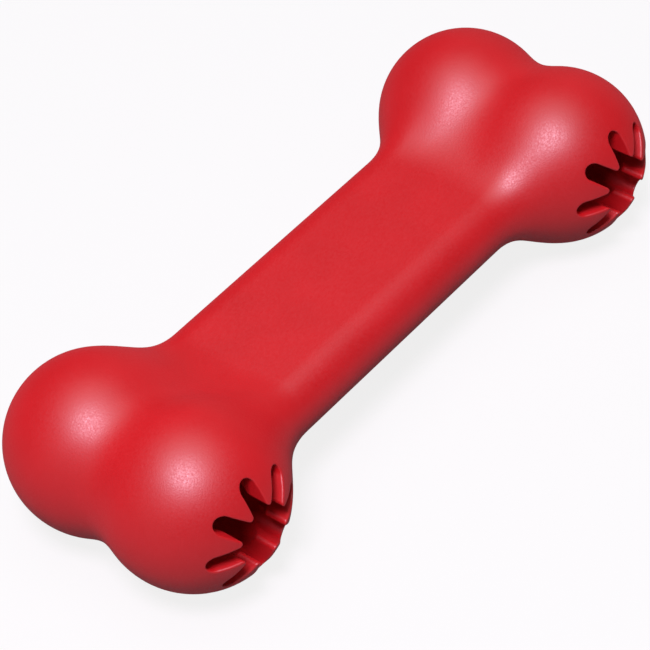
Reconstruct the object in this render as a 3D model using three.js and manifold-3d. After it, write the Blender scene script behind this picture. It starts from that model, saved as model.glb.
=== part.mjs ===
// A moulded rubber chew bone: a flat bar with two ball knuckles at each end. The two knuckles on the
// -Y side are hollow for treats, and each opens in a round mouth whose rim is notched into teeth that
// bend in and out. Millimetres, +Z up, X along the bone, origin on the ground under its middle.
import * as THREE from "three";
import { mergeVertices } from "three/addons/utils/BufferGeometryUtils.js";
import Module from "manifold-3d";

// Overall size
const OVERALL_LENGTH = 178;
const OVERALL_WIDTH = 70.6;
const KNUCKLE_RADIUS = 21.4;

// Bar, and the reach of the soft blends that join it to the knuckles and each knuckle to its pair
const BAR_WIDTH = 40.8;
const BAR_THICKNESS = 16;
const BAR_EDGE_RADIUS = 7.7;
const BAR_BLEND = 11.3;
const PAIR_BLEND = 7.2;

// Treat mouths: circles are measured from the mouth's axis, the others are the size of the rounding
const WALL = 5.5;
const TOOTH_COUNT = 8;
const NOTCH_END_CIRCLE = 14.2;
const NOTCH_END_RADIUS = 2.1;
const TIP_CIRCLE = 7.2;
const TIP_RADIUS = 0.9;

// Each tooth bends about a round root, which fills the wall and turns in a round seat
const ROOT_OVERSIZE = 0.3;
const SEAT_GAP = 0.3;

// Fineness of the facets
const BODY_FACET = 4;
const BALL_SIDES = 40;
const ROOT_SIDES = 20;
const ARC_STEPS = 3;

// Places that follow from the sizes
const KNUCKLE_X = OVERALL_LENGTH / 2 - KNUCKLE_RADIUS;
const KNUCKLE_Y = OVERALL_WIDTH / 2 - KNUCKLE_RADIUS;
const HOLLOW_RADIUS = KNUCKLE_RADIUS - WALL;
const MIDDLE_OF_WALL = KNUCKLE_RADIUS - WALL / 2;
const TOOTH_STEP = (2 * Math.PI) / TOOTH_COUNT;
const NOTCH_CENTRE_CIRCLE = NOTCH_END_CIRCLE - NOTCH_END_RADIUS;
const TIP_CENTRE_CIRCLE = TIP_CIRCLE + TIP_RADIUS;
const ROOT_RADIUS = WALL / 2 + ROOT_OVERSIZE;
const SEAT_RADIUS = ROOT_RADIUS + SEAT_GAP;

// The seat breaks through the outside of the ball between the round ends of two notches, and the
// bending axis lies in the middle of the wall, so its angle from the mouth's axis follows from there.
const SEAT_EDGE = NOTCH_CENTRE_CIRCLE * Math.cos(TOOTH_STEP / 2) + NOTCH_END_RADIUS / 2;
const SEAT_HALF_CHORD = Math.sqrt(SEAT_RADIUS ** 2 - (WALL / 2) ** 2);
const ROOT_ANGLE = Math.asin(SEAT_EDGE / KNUCKLE_RADIUS) - SEAT_HALF_CHORD / KNUCKLE_RADIUS;
const ROOT_OUT = MIDDLE_OF_WALL * Math.sin(ROOT_ANGLE);
const ROOT_UP = MIDDLE_OF_WALL * Math.cos(ROOT_ANGLE);
const SEAT_HALF_LENGTH = NOTCH_CENTRE_CIRCLE * Math.sin(TOOTH_STEP / 2);

const wasm = await Module();
wasm.setup();

// A closed geometry as a solid that can be joined and cut
function solid(geometry) {
  const bare = geometry.clone();
  bare.deleteAttribute("normal");
  bare.deleteAttribute("uv");
  const merged = mergeVertices(bare);
  return new wasm.Manifold(
    new wasm.Mesh({
      numProp: 3,
      vertProperties: new Float32Array(merged.attributes.position.array),
      triVerts: new Uint32Array(merged.index.array),
    }),
  );
}

// A solid's surface as a geometry again, with flat facets
function surface(made) {
  const mesh = made.getMesh();
  const indexed = new THREE.BufferGeometry();
  indexed.setAttribute("position", new THREE.BufferAttribute(mesh.vertProperties, 3));
  indexed.setIndex(new THREE.BufferAttribute(mesh.triVerts, 1));
  const flat = indexed.toNonIndexed();
  flat.computeVertexNormals();
  return flat;
}

function join(solids) {
  return solids.reduce((whole, next) => whole.add(next));
}

// The smaller of two distances, rounded where they are within reach of each other
function blend(a, b, reach) {
  const share = Math.max(reach - Math.abs(a - b), 0) / reach;
  return Math.min(a, b) - (share * share * reach) / 4;
}

// Distance to a box with round edges, from its middle
function roundBox(x, y, z, half, edge) {
  const dx = Math.abs(x) - half.x;
  const dy = Math.abs(y) - (half.y - edge);
  const dz = Math.abs(z) - (half.z - edge);
  const outside = Math.hypot(Math.max(dx, 0), Math.max(dy, 0), Math.max(dz, 0));
  return outside + Math.min(Math.max(dx, dy, dz), 0) - edge;
}

// Distance from a point to the bone's skin, with the bone's middle at the origin
const barHalf = new THREE.Vector3(KNUCKLE_X, BAR_WIDTH / 2, BAR_THICKNESS / 2);
function boneDistance(x, y, z) {
  const along = Math.abs(x) - KNUCKLE_X;
  const front = Math.hypot(along, y + KNUCKLE_Y, z) - KNUCKLE_RADIUS;
  const back = Math.hypot(along, y - KNUCKLE_Y, z) - KNUCKLE_RADIUS;
  const bar = roundBox(x, y, z, barHalf, BAR_EDGE_RADIUS);
  return blend(blend(front, back, PAIR_BLEND), bar, BAR_BLEND);
}

// Steepest direction of a distance, by small differences
function slope(distance, p) {
  const d = 1e-3;
  return new THREE.Vector3(
    distance(p.x + d, p.y, p.z) - distance(p.x - d, p.y, p.z),
    distance(p.x, p.y + d, p.z) - distance(p.x, p.y - d, p.z),
    distance(p.x, p.y, p.z + d) - distance(p.x, p.y, p.z - d),
  ).divideScalar(2 * d);
}

// Moves a point onto the surface where a distance is zero
function settle(distance, p) {
  const rounds = 4;
  for (let i = 0; i < rounds; i++) {
    const steep = slope(distance, p);
    p.addScaledVector(steep, -distance(p.x, p.y, p.z) / steep.lengthSq());
  }
  return p;
}

// Closed skin where a distance is zero: one vertex in each grid cell that the skin passes through,
// and one quad across each grid edge that it crosses. The grid is symmetric about the origin.
function skin(distance, half, cell) {
  const counts = half.toArray().map((reach) => 2 * Math.ceil(reach / cell + 1));
  const place = (axis, i) => (i - (counts[axis] - 1) / 2) * cell;
  const index = ([i, j, k]) => (i * counts[1] + j) * counts[2] + k;
  const grid = [];
  for (let i = 0; i < counts[0]; i++)
    for (let j = 0; j < counts[1]; j++)
      for (let k = 0; k < counts[2]; k++) grid.push([i, j, k]);
  const point = (g) => new THREE.Vector3(...g.map((i, axis) => place(axis, i)));
  const values = grid.map((g) => distance(...point(g).toArray()));
  const step = (g, axis, by = 1) => g.map((i, a) => (a === axis ? i + by : i));
  const inside = (g) => values[index(g)] < 0;
  const corners = [0, 1, 2, 3, 4, 5, 6, 7].map((n) => [n & 1, (n >> 1) & 1, n >> 2]);

  // Middle of the places where the skin crosses a cell's twelve edges
  const crossing = (cellCorner) => {
    const sum = new THREE.Vector3();
    let count = 0;
    for (const corner of corners)
      for (let axis = 0; axis < 3; axis++) {
        const from = cellCorner.map((i, a) => i + corner[a]);
        const to = step(from, axis);
        if (corner[axis] === 1 || inside(from) === inside(to)) continue;
        const share = values[index(from)] / (values[index(from)] - values[index(to)]);
        sum.add(point(from).lerp(point(to), share));
        count++;
      }
    return sum.divideScalar(count);
  };

  const vertices = [];
  const triangles = [];
  const vertexOf = new Map();
  const vertex = (cellCorner) => {
    const key = index(cellCorner);
    if (!vertexOf.has(key)) {
      vertexOf.set(key, vertices.length);
      vertices.push(settle(distance, crossing(cellCorner)));
    }
    return vertexOf.get(key);
  };

  for (const g of grid)
    for (let axis = 0; axis < 3; axis++) {
      if (g[axis] + 1 >= counts[axis]) continue;
      const here = inside(g);
      if (here === inside(step(g, axis))) continue;
      const u = (axis + 1) % 3;
      const v = (axis + 2) % 3;
      const round = [step(step(g, u, -1), v, -1), step(g, v, -1), g, step(g, u, -1)].map(vertex);
      const [a, b, c, d] = here ? round : round.reverse();
      const cutAC = vertices[a].distanceTo(vertices[c]) <= vertices[b].distanceTo(vertices[d]);
      triangles.push(...(cutAC ? [a, b, c, a, c, d] : [a, b, d, b, c, d]));
    }

  const geometry = new THREE.BufferGeometry();
  geometry.setAttribute(
    "position",
    new THREE.Float32BufferAttribute(vertices.flatMap((p) => p.toArray()), 3),
  );
  geometry.setIndex(triangles);
  return geometry;
}

// The pieces below are in a mouth's own frame: knuckle's centre at the origin, +Z out of the mouth,
// a notch at angle 0 about Z and a tooth half a step on from each notch.

function ball(radius) {
  return solid(new THREE.SphereGeometry(radius, BALL_SIDES, BALL_SIDES / 2).rotateX(Math.PI / 2));
}

// Star-shaped way through the wall: round notch ends and round tooth tips, joined by the straight
// lines that touch both
function mouthOutline() {
  const outline = new THREE.Shape();
  const polar = (radius, angle) =>
    new THREE.Vector2(radius * Math.cos(angle), radius * Math.sin(angle));
  for (let k = 0; k < TOOTH_COUNT; k++) {
    const notchAngle = k * TOOTH_STEP;
    const tipAngle = notchAngle + TOOTH_STEP / 2;
    const notch = polar(NOTCH_CENTRE_CIRCLE, notchAngle);
    const tip = polar(TIP_CENTRE_CIRCLE, tipAngle);
    const across = tip.clone().sub(notch);
    const side = across.angle() + Math.asin((NOTCH_END_RADIUS + TIP_RADIUS) / across.length());
    const notchTurn = side - Math.PI / 2 - notchAngle;
    const tipTurn = side - Math.PI / 2 - tipAngle;
    outline.absarc(
      notch.x, notch.y, NOTCH_END_RADIUS, notchAngle - notchTurn, notchAngle + notchTurn, false,
    );
    outline.absarc(
      tip.x, tip.y, TIP_RADIUS, tipAngle + Math.PI + tipTurn, tipAngle + Math.PI - tipTurn, true,
    );
  }
  outline.closePath();
  return outline;
}

function mouthStar() {
  const depth = KNUCKLE_RADIUS + WALL;
  return solid(
    new THREE.ExtrudeGeometry(mouthOutline(), { depth, bevelEnabled: false, curveSegments: ARC_STEPS }),
  );
}

// Everything on the tip side of the bending axes: a pyramid with one flat face to each tooth
function tipSide() {
  const height = KNUCKLE_RADIUS + WALL;
  const radius = (height * Math.tan(ROOT_ANGLE)) / Math.cos(TOOTH_STEP / 2);
  const pyramid = new THREE.ConeGeometry(radius, height, TOOTH_COUNT, 1, false, Math.PI / 2);
  return solid(pyramid.rotateX(-Math.PI / 2).translate(0, 0, height / 2));
}

// Round bar along the bending axis of the tooth at this angle
function rootBar(radius, halfLength, angle) {
  const bar = new THREE.CylinderGeometry(radius, radius, 2 * halfLength, ROOT_SIDES);
  return solid(bar.translate(ROOT_OUT, 0, ROOT_UP).rotateZ(angle));
}

// The slice of the mouth that holds the tooth at angle 0
function toothSlice() {
  const reach = 2 * KNUCKLE_RADIUS;
  const half = reach * Math.tan(TOOTH_STEP / 2);
  const slice = new THREE.Shape();
  slice.moveTo(0, 0).lineTo(reach, -half).lineTo(reach, half).closePath();
  return solid(new THREE.ExtrudeGeometry(slice, { depth: reach, bevelEnabled: false }));
}

// One tooth, pointing from its root towards the mouth's axis, with its middle line at angle 0
function toothGeometry() {
  const star = solid(surface(mouthStar()).rotateZ(TOOTH_STEP / 2));
  const zone = solid(surface(tipSide()).rotateZ(TOOTH_STEP / 2)).add(
    rootBar(ROOT_RADIUS, KNUCKLE_RADIUS, 0),
  );
  const shell = ball(KNUCKLE_RADIUS).subtract(ball(HOLLOW_RADIUS));
  return surface(shell.intersect(toothSlice()).intersect(zone).subtract(star));
}

// All that a mouth takes out of its knuckle: the treat hollow, the notches, the room where the teeth
// are, and the seats of their roots
function mouthCut() {
  const seats = [];
  for (let k = 0; k < TOOTH_COUNT; k++)
    seats.push(rootBar(SEAT_RADIUS, SEAT_HALF_LENGTH, (k + 0.5) * TOOTH_STEP));
  return surface(join([ball(HOLLOW_RADIUS), mouthStar(), tipSide(), ...seats]));
}

// Assembly
const rubber = new THREE.MeshStandardMaterial({ color: 0xd8283a, roughness: 0.42, metalness: 0 });

const bone = new THREE.Group();
const middle = new THREE.Group();
middle.position.z = KNUCKLE_RADIUS;
bone.add(middle);

const boneHalf = new THREE.Vector3(OVERALL_LENGTH / 2, OVERALL_WIDTH / 2, KNUCKLE_RADIUS);
let body = solid(skin(boneDistance, boneHalf, BODY_FACET));
const cut = mouthCut();
const tooth = toothGeometry();

for (const [end, side] of [["left", -1], ["right", 1]]) {
  const mouth = new THREE.Group();
  mouth.position.set(side * KNUCKLE_X, -KNUCKLE_Y, 0);
  mouth.rotation.x = Math.PI / 2;
  mouth.updateMatrix();
  body = body.subtract(solid(cut.clone().applyMatrix4(mouth.matrix)));
  for (let k = 0; k < TOOTH_COUNT; k++) {
    const flap = new THREE.Mesh(tooth, rubber);
    flap.name = `${end}_tooth_${k + 1}`;
    flap.rotation.z = (k + 0.5) * TOOTH_STEP;
    mouth.add(flap);
  }
  middle.add(mouth);
}

const boneBody = new THREE.Mesh(surface(body), rubber);
boneBody.name = "bone_body";
middle.add(boneBody);

export default bone;
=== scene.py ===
import math

import bmesh
import bpy
import numpy as np
from mathutils import Matrix, Vector


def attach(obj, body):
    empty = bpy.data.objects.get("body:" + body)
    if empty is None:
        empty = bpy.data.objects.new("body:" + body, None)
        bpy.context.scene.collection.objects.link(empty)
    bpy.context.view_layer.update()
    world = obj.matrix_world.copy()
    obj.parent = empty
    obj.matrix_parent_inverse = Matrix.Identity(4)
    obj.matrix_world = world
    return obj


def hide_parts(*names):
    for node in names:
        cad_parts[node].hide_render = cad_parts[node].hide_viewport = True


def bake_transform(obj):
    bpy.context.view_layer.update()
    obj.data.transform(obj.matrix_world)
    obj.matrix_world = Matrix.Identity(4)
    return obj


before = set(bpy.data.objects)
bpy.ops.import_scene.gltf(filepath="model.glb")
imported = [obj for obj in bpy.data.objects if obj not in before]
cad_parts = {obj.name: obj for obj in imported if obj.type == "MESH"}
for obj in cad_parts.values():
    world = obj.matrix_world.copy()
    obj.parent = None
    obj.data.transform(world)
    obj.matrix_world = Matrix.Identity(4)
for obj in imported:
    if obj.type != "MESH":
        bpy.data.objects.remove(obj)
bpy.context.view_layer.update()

# Sizes in millimetres, as in the solids. The bone's middle is the origin, and the ground lies one
# knuckle radius below it.
OVERALL_LENGTH = 178.0
OVERALL_WIDTH = 70.6
KNUCKLE_RADIUS = 21.4
BAR_WIDTH = 40.8
BAR_THICKNESS = 16.0
BAR_EDGE_RADIUS = 7.7
BAR_BLEND = 11.3
PAIR_BLEND = 7.2
WALL = 5.5
TOOTH_COUNT = 8
NOTCH_END_CIRCLE = 14.2
NOTCH_END_RADIUS = 2.1
TIP_CIRCLE = 7.2
TIP_RADIUS = 0.9

# Reach of the rounding on the mouth's moulded edges
EDGE_REACH = 0.6

KNUCKLE_X = OVERALL_LENGTH / 2 - KNUCKLE_RADIUS
KNUCKLE_Y = OVERALL_WIDTH / 2 - KNUCKLE_RADIUS
HOLLOW_RADIUS = KNUCKLE_RADIUS - WALL
TOOTH_STEP = 2 * math.pi / TOOTH_COUNT
MM = 0.001

# How far from the mouth's axis a bent tooth has turned all the way
BEND_END = 8.6

# Camera, from a fit of the bone's outline to the photograph: its place and how far it sees in metres,
# its axes, and its focal length in pixels of a square image
IMAGE_WIDTH = 650
SENSOR_WIDTH = 36.0
FOCAL_PIXELS = 2761.3
CAMERA_PLACE = (-0.3427, -0.31925, 0.45669)
CAMERA_RIGHT = (0.62537, -0.77581, -0.08391)
CAMERA_DOWN = (-0.57635, -0.38672, -0.71991)
CAMERA_AHEAD = (0.52606, 0.49857, -0.68898)
CAMERA_SIGHT = 20.0

# Rubber: the two reds that it clouds between, its gloss, how matte it is below the gloss, and the
# depth of its grain in metres
RED_DARK = (0.69, 0.0035, 0.0085, 1)
RED_LIGHT = (0.74, 0.0055, 0.0115, 1)
RUBBER_IOR = 1.9
RUBBER_MATTE = 0.5
ROUGHNESS_RANGE = (0.4, 0.54)
GRAIN_STRENGTH = 0.14
GRAIN_DEPTH = 0.0002

# Scale and detail of the rubber's noises, and the range that most of their values lie in
CLOUDS = (70.0, 3.0)
GLOSS_SPOTS = (2200.0, 2.0)
GRAIN = (2600.0, 2.0)
NOISE_RANGE = (0.3, 0.7)

# Floor: its shade under the lamps, its shade for the light that it throws back at the bone, the glow
# that whitens it where it is seen, and the share of that glow in the bone's gloss
FLOOR_RADIUS = 3.0
FLOOR_SEGMENTS = 64
FLOOR_LIT = 0.15
FLOOR_BOUNCE = 0.35
FLOOR_GLOW = 0.84
FLOOR_IN_GLOSS = 0.04

# Lamps: the way to each from the bone, its width in metres, its power in watts and its colour, and
# the strength of the even light from all round
LAMP_DISTANCE = 1.2
LAMPS = {
    "key": {"way": (-0.37, -0.2, 0.905), "size": 0.4, "power": 10.6, "colour": (0.97, 0.8, 1.0)},
    "softbox": {"way": (-0.05, 0.0, 1.0), "size": 1.4, "power": 4.5, "colour": (1, 1, 1)},
    "left": {"way": (-1.0, 0.1, 0.4), "size": 1.2, "power": 0.6, "colour": (1, 1, 1)},
    "right": {"way": (1.0, 0.3, 0.15), "size": 1.2, "power": 0.4, "colour": (1, 1, 1)},
}
AMBIENT = 0.055

# Fineness of the meshes: in millimetres the open skin's cell, the step that slopes are taken over and
# the reach of a weld, then rounds of moving points onto the surface and of evening them out, and the
# counts along a mouth's outline and its walls
SKIN_CELL = 1.2
SLOPE_STEP = 1e-3
WELD_REACH = 1e-3
SETTLE_ROUNDS = 5
RELAX_ROUNDS = 12
RELAX_SETTLE_ROUNDS = 2
SIDE_STEPS = 14
TIP_STEPS = 7
AXIS_STEPS = 6
RING_STEPS = 8
HOLLOW_ROWS = 22

# Where the mouth's own mesh meets the open skin outside and the plain hollow inside
RING_OUTSIDE = 17.2
RING_INSIDE = 15.2
RING_MARGIN = 0.5


def polar(radius, angle):
    """A point at a radius and an angle from the middle."""
    return radius * np.array([math.cos(angle), math.sin(angle)])


def heading(vector):
    """The angle that a vector points at."""
    return math.atan2(vector[1], vector[0])


# One side of a tooth, seen along the mouth's axis with the tooth's middle line along the first
# coordinate: the straight side touches the notch's round end and the tooth's round tip.
NOTCH = polar(NOTCH_END_CIRCLE - NOTCH_END_RADIUS, TOOTH_STEP / 2)
TIP = polar(TIP_CIRCLE + TIP_RADIUS, 0.0)
LEAN = math.asin((NOTCH_END_RADIUS + TIP_RADIUS) / np.linalg.norm(TIP - NOTCH))
SIDE_WAY = polar(1.0, heading(TIP - NOTCH) - LEAN)
SIDE_IN = np.array([-SIDE_WAY[1], SIDE_WAY[0]])
SIDE_ROOT = NOTCH + NOTCH_END_RADIUS * SIDE_IN
SIDE_TIP = TIP - TIP_RADIUS * SIDE_IN
SIDE_LENGTH = np.linalg.norm(SIDE_TIP - SIDE_ROOT)


def smaller(a, b, reach):
    """The smaller of two distances, blended where they are less than a reach apart."""
    share = np.maximum(reach - np.abs(a - b), 0.0) / reach
    return np.minimum(a, b) - share * share * reach / 4


def larger(a, b, reach):
    """The larger of two distances, blended in the same way."""
    return -smaller(-a, -b, reach)


def length(*parts):
    return np.sqrt(sum(part * part for part in parts))


def bone_distance(p):
    """Distance to the bone's outside, with no mouths in it."""
    x, y, z = p.T
    along = np.abs(x) - KNUCKLE_X
    front = length(along, y + KNUCKLE_Y, z) - KNUCKLE_RADIUS
    back = length(along, y - KNUCKLE_Y, z) - KNUCKLE_RADIUS
    dy = np.abs(y) - (BAR_WIDTH / 2 - BAR_EDGE_RADIUS)
    dz = np.abs(z) - (BAR_THICKNESS / 2 - BAR_EDGE_RADIUS)
    outside = length(np.maximum(along, 0), np.maximum(dy, 0), np.maximum(dz, 0))
    inside = np.minimum(np.maximum(along, np.maximum(dy, dz)), 0)
    bar = outside + inside - BAR_EDGE_RADIUS
    return smaller(smaller(front, back, PAIR_BLEND), bar, BAR_BLEND)


def notch_distance(u, v):
    """Distance across the mouth to its toothed outline, positive in the rubber."""
    turn = np.abs(np.mod(np.arctan2(v, u), TOOTH_STEP) - TOOTH_STEP / 2)
    radius = length(u, v)
    a, b = radius * np.cos(turn), radius * np.sin(turn)
    along = (a - SIDE_ROOT[0]) * SIDE_WAY[0] + (b - SIDE_ROOT[1]) * SIDE_WAY[1]
    across = (a - SIDE_ROOT[0]) * SIDE_IN[0] + (b - SIDE_ROOT[1]) * SIDE_IN[1]
    to_notch = length(a - NOTCH[0], b - NOTCH[1]) - NOTCH_END_RADIUS
    to_tip = TIP_RADIUS - length(a - TIP[0], b - TIP[1])
    return np.where(along < 0, to_notch, np.where(along > SIDE_LENGTH, to_tip, across))


def rubber_distance(p):
    """Distance to the whole moulding's surface: outside, mouths and treat hollows."""
    x, y, z = p.T
    along = np.abs(x) - KNUCKLE_X
    opening = np.minimum(-notch_distance(along, z), -(y + KNUCKLE_Y))
    hollow = HOLLOW_RADIUS - length(along, y + KNUCKLE_Y, z)
    outside = larger(bone_distance(p), opening, EDGE_REACH)
    return larger(outside, hollow, EDGE_REACH)


def slope(distance, p):
    """How fast a distance grows along each axis."""
    columns = []
    for axis in range(3):
        ahead, behind = p.copy(), p.copy()
        ahead[:, axis] += SLOPE_STEP
        behind[:, axis] -= SLOPE_STEP
        columns.append((distance(ahead) - distance(behind)) / (2 * SLOPE_STEP))
    return np.stack(columns, 1)


def settle(distance, p, rounds=SETTLE_ROUNDS):
    """Moves points onto the surface where a distance is zero."""
    p = np.array(p, float)
    for _ in range(rounds):
        steep = slope(distance, p)
        p -= steep * (distance(p) / (steep * steep).sum(1))[:, None]
    return p


def skin(distance, half, cell):
    """Quads over the surface where a distance is zero, on a grid symmetric about the origin."""
    counts = np.array([2 * math.ceil(reach / cell + 1) for reach in half])
    axes = [(np.arange(n) - (n - 1) / 2) * cell for n in counts]
    points = np.stack(np.meshgrid(*axes, indexing="ij"), -1).reshape(-1, 3)
    value = distance(points)
    stride = np.array([counts[1] * counts[2], counts[2], 1])
    everywhere = np.arange(len(points))
    place = np.stack(np.unravel_index(everywhere, counts), 1)
    total = np.zeros((len(points), 3))
    number = np.zeros(len(points))
    rounds = []
    for axis in range(3):
        start = everywhere[place[:, axis] + 1 < counts[axis]]
        end = start + stride[axis]
        crossed = (value[start] < 0) != (value[end] < 0)
        start, end = start[crossed], end[crossed]
        share = (value[start] / (value[start] - value[end]))[:, None]
        crossing = points[start] * (1 - share) + points[end] * share
        u, v = stride[(axis + 1) % 3], stride[(axis + 2) % 3]
        around = np.stack([start - u - v, start - v, start, start - u], 1)
        for cells in around.T:
            np.add.at(total, cells, crossing)
            np.add.at(number, cells, 1)
        leaving = value[start] < 0
        rounds.append(np.where(leaving[:, None], around, around[:, ::-1]))
    used = np.flatnonzero(number)
    order = np.full(len(points), -1)
    order[used] = np.arange(len(used))
    return total[used] / number[used][:, None], order[np.concatenate(rounds)]


def relax(distance, points, quads, rounds):
    """Evens out the quads while their corners stay on the surface."""
    edges = np.concatenate([quads[:, [k, (k + 1) % 4]] for k in range(4)])
    degree = np.bincount(edges[:, 0], minlength=len(points)).astype(float)
    for _ in range(rounds):
        middle = np.zeros_like(points)
        np.add.at(middle, edges[:, 0], points[edges[:, 1]])
        evened = (points + middle / degree[:, None]) / 2
        points = settle(distance, evened, RELAX_SETTLE_ROUNDS)
    return points


def outline_of(quads):
    """The corners round the edge of one patch of quads, in order."""
    edges = np.concatenate([quads[:, [k, (k + 1) % 4]] for k in range(4)])
    known = {(a, b) for a, b in edges.tolist()}
    following = {a: b for a, b in known if (b, a) not in known}
    first = min(following)
    loop = [first]
    while following[loop[-1]] != first:
        loop.append(following[loop[-1]])
    return loop


class Shape:
    """Faces collected patch by patch, and welded where the patches meet."""

    def __init__(self):
        self.points = []
        self.faces = []
        self.count = 0

    def add(self, points, faces):
        self.points.append(np.asarray(points, float))
        self.faces += [[self.count + i for i in face] for face in faces]
        self.count += len(points)

    def grid(self, points):
        """A patch of quads over an array of rows of points."""
        rows, columns, _ = points.shape
        index = np.arange(rows * columns).reshape(rows, columns)
        corners = [index[:-1, :-1], index[:-1, 1:], index[1:, 1:], index[1:, :-1]]
        self.add(points.reshape(-1, 3), np.stack(corners, -1).reshape(-1, 4).tolist())

    def zip(self, ring, rim):
        """Triangles between two closed loops of points that run the same way."""
        start = int(np.argmin(((rim - ring[0]) ** 2).sum(1)))
        rim = np.roll(rim, -start, axis=0)
        n, m = len(ring), len(rim)
        faces = []
        i = j = 0
        while i < n or j < m:
            next_ring = np.linalg.norm(ring[(i + 1) % n] - rim[j % m])
            next_rim = np.linalg.norm(rim[(j + 1) % m] - ring[i % n])
            if j >= m or (i < n and next_ring <= next_rim):
                faces.append([i % n, (i + 1) % n, n + j % m])
                i += 1
            else:
                faces.append([i % n, n + (j + 1) % m, n + j % m])
                j += 1
        self.add(np.concatenate([ring, rim]), faces)

    def piece(self, name):
        """A Blender object of the welded faces, in metres, with the surface's own normals."""
        made = bmesh.new()
        for point in np.concatenate(self.points):
            made.verts.new(point)
        made.verts.ensure_lookup_table()
        for face in self.faces:
            made.faces.new([made.verts[i] for i in face])
        bmesh.ops.remove_doubles(made, verts=made.verts[:], dist=WELD_REACH)
        bmesh.ops.recalc_face_normals(made, faces=made.faces[:])
        mesh = bpy.data.meshes.new(name)
        made.to_mesh(mesh)
        made.free()
        points = np.array([vertex.co for vertex in mesh.vertices], float)
        steep = slope(rubber_distance, points)
        steep /= np.linalg.norm(steep, axis=1)[:, None]
        mesh.transform(Matrix.Scale(MM, 4) @ Matrix.Translation((0, 0, KNUCKLE_RADIUS)))
        mesh.polygons.foreach_set("use_smooth", [True] * len(mesh.polygons))
        mesh.normals_split_custom_set_from_vertices(steep.tolist())
        made_object = bpy.data.objects.new(name, mesh)
        bpy.context.scene.collection.objects.link(made_object)
        return made_object


def steps(first, last, count):
    """Evenly spaced values, with both ends."""
    return np.linspace(first, last, count + 1)


def between(first, last, shares):
    """Points at shares of the way from one point to another."""
    shares = np.asarray(shares)[:, None]
    return np.asarray(first) * (1 - shares) + np.asarray(last) * shares


# Shares of the way from a tooth's edge to its middle line, and down a wall from the outside to the
# hollow: close together where the edges are rounded
EDGE_SHARES = np.array([0, 0.03, 0.06, 0.1, 0.15, 0.21, 0.3, 0.42, 0.58, 0.78, 1])
WALL_EDGE = np.array([0, 0.012, 0.026, 0.044, 0.066, 0.095, 0.14])
WALL_MIDDLE = steps(0.22, 0.78, 5)
WALL_SHARES = np.concatenate([WALL_EDGE, WALL_MIDDLE, 1 - WALL_EDGE[::-1]])


def tooth_plan():
    """Edge of half a tooth from root to tip, and the points of its middle line that face it."""
    side = between(SIDE_ROOT, SIDE_TIP, steps(0, 1, SIDE_STEPS))
    turns = steps(heading(SIDE_TIP - TIP), math.pi, TIP_STEPS)[1:]
    end = np.array([TIP + polar(TIP_RADIUS, turn) for turn in turns])
    middle = between([SIDE_ROOT[0], 0], TIP, steps(0, 1, SIDE_STEPS))
    return np.concatenate([side, end]), np.concatenate([middle, np.tile(TIP, (TIP_STEPS, 1))])


def notch_plan(ring):
    """Half the round end of a notch, from a tooth's root on, and the points that face it: out along
    the tooth's middle line, and then round a ring."""
    turns = steps(heading(SIDE_IN), TOOTH_STEP / 2, AXIS_STEPS + RING_STEPS)
    end = np.array([NOTCH + polar(NOTCH_END_RADIUS, turn) for turn in turns])
    axis = between([SIDE_ROOT[0], 0], [ring, 0], steps(0, 1, AXIS_STEPS))
    round_part = np.array([polar(ring, turn) for turn in steps(0, TOOTH_STEP / 2, RING_STEPS)[1:]])
    return end, np.concatenate([axis, round_part])


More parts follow.
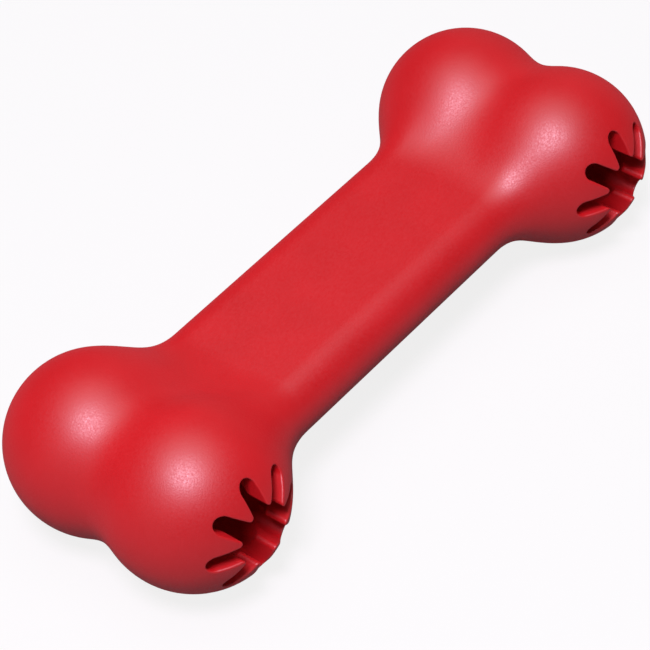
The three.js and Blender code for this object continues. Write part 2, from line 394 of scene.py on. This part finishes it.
class Mouth:
    """Lays plans on the wall of one knuckle, about the axis of its mouth."""

    def __init__(self, side):
        self.side = side

    def place(self, plan, height):
        """Points of the bone from points across the mouth and heights along its axis."""
        u, v = plan[..., 0], plan[..., 1]
        return np.stack([self.side * KNUCKLE_X + u, -KNUCKLE_Y - height, v], -1)

    def turned(self, plan, tooth, mirrored):
        """A tooth's plan turned to where the tooth is."""
        angle = (tooth + 0.5) * TOOTH_STEP
        cosine, sine = math.cos(angle), math.sin(angle)
        a, b = plan[..., 0], plan[..., 1] * (-1 if mirrored else 1)
        return np.stack([a * cosine - b * sine, a * sine + b * cosine], -1)

    def on_ball(self, plan, radius):
        """A plan laid on a ball about the knuckle's middle."""
        return self.place(plan, np.sqrt(radius**2 - (plan**2).sum(-1)))

    def settled(self, points):
        """Points moved onto the moulding's surface, in the same rows."""
        return settle(rubber_distance, points.reshape(-1, 3)).reshape(points.shape)

    def half(self, shape, tooth, mirrored, outside, inside):
        """Both faces and the wall on one side of a tooth or a notch, and the cut across its root."""
        sheets = []
        for plan, radius in ((outside, KNUCKLE_RADIUS), (inside, HOLLOW_RADIUS)):
            edge, middle = (self.turned(part, tooth, mirrored) for part in plan)
            sheet = edge + (middle - edge) * EDGE_SHARES[:, None, None]
            sheets.append(self.settled(self.on_ball(sheet, radius)))
            shape.grid(sheets[-1])
        edge = self.turned(outside[0], tooth, mirrored)
        top, bottom = self.on_ball(edge, KNUCKLE_RADIUS), self.on_ball(edge, HOLLOW_RADIUS)
        wall = self.settled(top + (bottom - top) * WALL_SHARES[:, None, None])
        shape.grid(wall)
        cut = sheets[0][:, 0] + (sheets[1][:, 0] - sheets[0][:, 0]) * WALL_SHARES[:, None, None]
        cut[:, 0] = wall[:, 0]
        shape.grid(cut)

    def tooth(self, shape, tooth):
        """One tooth from its root to its tip."""
        plan = tooth_plan()
        for mirrored in (False, True):
            self.half(shape, tooth, mirrored, plan, plan)

    def surround(self, shape):
        """The wall round all the teeth, and the hollow below them."""
        for tooth in range(TOOTH_COUNT):
            for mirrored in (False, True):
                self.half(shape, tooth, mirrored, notch_plan(RING_OUTSIDE), notch_plan(RING_INSIDE))
        turns = steps(0, 2 * math.pi, 2 * TOOTH_COUNT * RING_STEPS)
        tilts = steps(math.asin(RING_INSIDE / HOLLOW_RADIUS), math.pi, HOLLOW_ROWS)
        rows = [[[*polar(HOLLOW_RADIUS * math.sin(tilt), turn), HOLLOW_RADIUS * math.cos(tilt)]
                 for turn in turns] for tilt in tilts]
        rows = np.array(rows)
        shape.grid(self.settled(self.place(rows[..., :2], rows[..., 2])))

    def ring(self):
        """Points where the mouth's own mesh ends on the outside."""
        turns = steps(0, 2 * math.pi, 2 * TOOTH_COUNT * RING_STEPS)[:-1]
        plan = np.array([polar(RING_OUTSIDE, turn) for turn in turns])
        return self.settled(self.on_ball(plan, KNUCKLE_RADIUS))

    def in_frame(self, tooth, reach):
        """A point of a tooth's middle line, at the root's depth along the mouth's axis, in metres."""
        middle_line = np.array([[reach, 0.0], [SIDE_ROOT[0], 0.0]])
        plan = self.turned(middle_line, tooth, False)
        point, root = self.on_ball(plan, KNUCKLE_RADIUS - WALL / 2)
        return (point[0] * MM, root[1] * MM, (point[2] + KNUCKLE_RADIUS) * MM)

    def near(self, points):
        """Which points of the open skin lie where the mouth's own mesh is."""
        u, v = points[:, 0] - self.side * KNUCKLE_X, points[:, 2]
        return (length(u, v) < RING_OUTSIDE + RING_MARGIN) & (points[:, 1] < -KNUCKLE_Y)


def red_rubber():
    """Satin moulded rubber: fine speckle, faint cloudiness and uneven gloss."""
    material = bpy.data.materials.new("red_rubber")
    material.use_nodes = True
    nodes, links = material.node_tree.nodes, material.node_tree.links
    shader = nodes["Principled BSDF"]
    shader.inputs["IOR"].default_value = RUBBER_IOR
    shader.inputs["Diffuse Roughness"].default_value = RUBBER_MATTE
    where = nodes.new("ShaderNodeTexCoord").outputs["Object"]

    def noise(scale, detail):
        node = nodes.new("ShaderNodeTexNoise")
        node.inputs["Scale"].default_value = scale
        node.inputs["Detail"].default_value = detail
        links.new(where, node.inputs["Vector"])
        return node.outputs["Fac"]

    def mapped(value, low, high):
        node = nodes.new("ShaderNodeMapRange")
        node.inputs["From Min"].default_value = NOISE_RANGE[0]
        node.inputs["From Max"].default_value = NOISE_RANGE[1]
        node.inputs["To Min"].default_value = low
        node.inputs["To Max"].default_value = high
        links.new(value, node.inputs["Value"])
        return node.outputs["Result"]

    clouds = nodes.new("ShaderNodeValToRGB")
    for element, position, red in zip(clouds.color_ramp.elements, NOISE_RANGE, (RED_DARK, RED_LIGHT)):
        element.position = position
        element.color = red
    links.new(noise(*CLOUDS), clouds.inputs["Fac"])
    links.new(clouds.outputs["Color"], shader.inputs["Base Color"])
    links.new(mapped(noise(*GLOSS_SPOTS), *ROUGHNESS_RANGE), shader.inputs["Roughness"])

    bump = nodes.new("ShaderNodeBump")
    bump.inputs["Strength"].default_value = GRAIN_STRENGTH
    bump.inputs["Distance"].default_value = GRAIN_DEPTH
    links.new(noise(*GRAIN), bump.inputs["Height"])
    links.new(bump.outputs["Normal"], shader.inputs["Normal"])
    return material


def pale_floor():
    """Almost white where it is seen, with the bone's shadow. It throws back less light than a white
    floor, and shows only faintly in the bone's gloss."""
    material = bpy.data.materials.new("pale_floor")
    material.use_nodes = True
    nodes, links = material.node_tree.nodes, material.node_tree.links
    shader = nodes["Principled BSDF"]
    shader.inputs["Specular IOR Level"].default_value = 0.0
    shader.inputs["Emission Color"].default_value = (1, 1, 1, 1)
    path = nodes.new("ShaderNodeLightPath")
    through = nodes.new("ShaderNodeMath")
    through.operation = "MULTIPLY_ADD"
    through.inputs[1].default_value = FLOOR_IN_GLOSS
    links.new(path.outputs["Is Glossy Ray"], through.inputs[0])
    links.new(path.outputs["Is Transmission Ray"], through.inputs[2])
    seen = nodes.new("ShaderNodeMath")
    seen.operation = "MAXIMUM"
    links.new(path.outputs["Is Camera Ray"], seen.inputs[0])
    links.new(through.outputs["Value"], seen.inputs[1])

    def by_ray(socket, ray, without, along):
        node = nodes.new("ShaderNodeMapRange")
        node.inputs["To Min"].default_value = without
        node.inputs["To Max"].default_value = along
        links.new(ray, node.inputs["Value"])
        links.new(node.outputs["Result"], shader.inputs[socket])

    by_ray("Base Color", path.outputs["Is Diffuse Ray"], FLOOR_LIT, FLOOR_BOUNCE)
    by_ray("Emission Strength", seen.outputs["Value"], 0.0, FLOOR_GLOW)
    return material


def lamp(name, way, size, power, colour):
    """A round soft lamp that shines at the bone."""
    light = bpy.data.lights.new(name, "AREA")
    light.shape = "DISK"
    light.size = size
    light.energy = power
    light.color = colour
    holder = bpy.data.objects.new(name, light)
    bpy.context.scene.collection.objects.link(holder)
    way = Vector(way).normalized()
    holder.location = way * LAMP_DISTANCE + Vector((0, 0, KNUCKLE_RADIUS * MM))
    holder.rotation_mode = "QUATERNION"
    holder.rotation_quaternion = way.to_track_quat("Z", "Y")


def surroundings():
    """Even light from all round."""
    world = bpy.data.worlds.new("studio")
    bpy.context.scene.world = world
    world.use_nodes = True
    world.node_tree.nodes["Background"].inputs["Color"].default_value = (1, 1, 1, 1)
    world.node_tree.nodes["Background"].inputs["Strength"].default_value = AMBIENT


rubber = red_rubber()


def finished(piece, nodes):
    """A piece in rubber, in place of solids of the frame."""
    piece.data.materials.append(rubber)
    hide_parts(*nodes)
    return piece


# The bone with its knuckles, hollows and notches
body = Shape()
mouths = {"left": Mouth(-1), "right": Mouth(1)}
half_sizes = (OVERALL_LENGTH / 2, OVERALL_WIDTH / 2, KNUCKLE_RADIUS)
points, quads = skin(bone_distance, half_sizes, SKIN_CELL)
points = relax(bone_distance, points, quads, RELAX_ROUNDS)
covered = np.zeros(len(quads), bool)
for mouth in mouths.values():
    here = mouth.near(points)[quads].any(1)
    covered |= here
    mouth.surround(body)
    body.zip(mouth.ring(), points[outline_of(quads[here])])
used, renumbered = np.unique(quads[~covered], return_inverse=True)
body.add(points[used], renumbered.reshape(-1, 4).tolist())
bone = finished(body.piece("bone_moulding"), ["bone_body"])
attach(bone, "bone")

# The teeth, each a piece of its own
for end, mouth in mouths.items():
    for k in range(TOOTH_COUNT):
        shape = Shape()
        mouth.tooth(shape, k)
        node = f"{end}_tooth_{k + 1}"
        flap = finished(shape.piece(f"{end}_flap_{k + 1}"), [node])
        root, tip = (mouth.in_frame(k, reach) for reach in (SIDE_ROOT[0], BEND_END))
        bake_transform(flap)

# Camera, at the photograph's place
camera = bpy.data.objects.new("camera", bpy.data.cameras.new("camera"))
bpy.context.scene.collection.objects.link(camera)
bpy.context.scene.camera = camera
camera.data.sensor_width = SENSOR_WIDTH
camera.data.lens = FOCAL_PIXELS / IMAGE_WIDTH * SENSOR_WIDTH
axes = Matrix((CAMERA_RIGHT, [-c for c in CAMERA_DOWN], [-c for c in CAMERA_AHEAD])).transposed()
camera.matrix_world = Matrix.Translation(CAMERA_PLACE) @ axes.to_4x4()
camera.data.clip_end = CAMERA_SIGHT

# Stage
floor_mesh = bmesh.new()
bmesh.ops.create_circle(floor_mesh, cap_ends=True, segments=FLOOR_SEGMENTS, radius=FLOOR_RADIUS)
floor = bpy.data.objects.new("floor", bpy.data.meshes.new("floor"))
floor_mesh.to_mesh(floor.data)
floor_mesh.free()
bpy.context.scene.collection.objects.link(floor)
floor.data.materials.append(pale_floor())

for name, values in LAMPS.items():
    lamp(name, **values)
surroundings()
bpy.context.scene.view_settings.view_transform = "Standard"
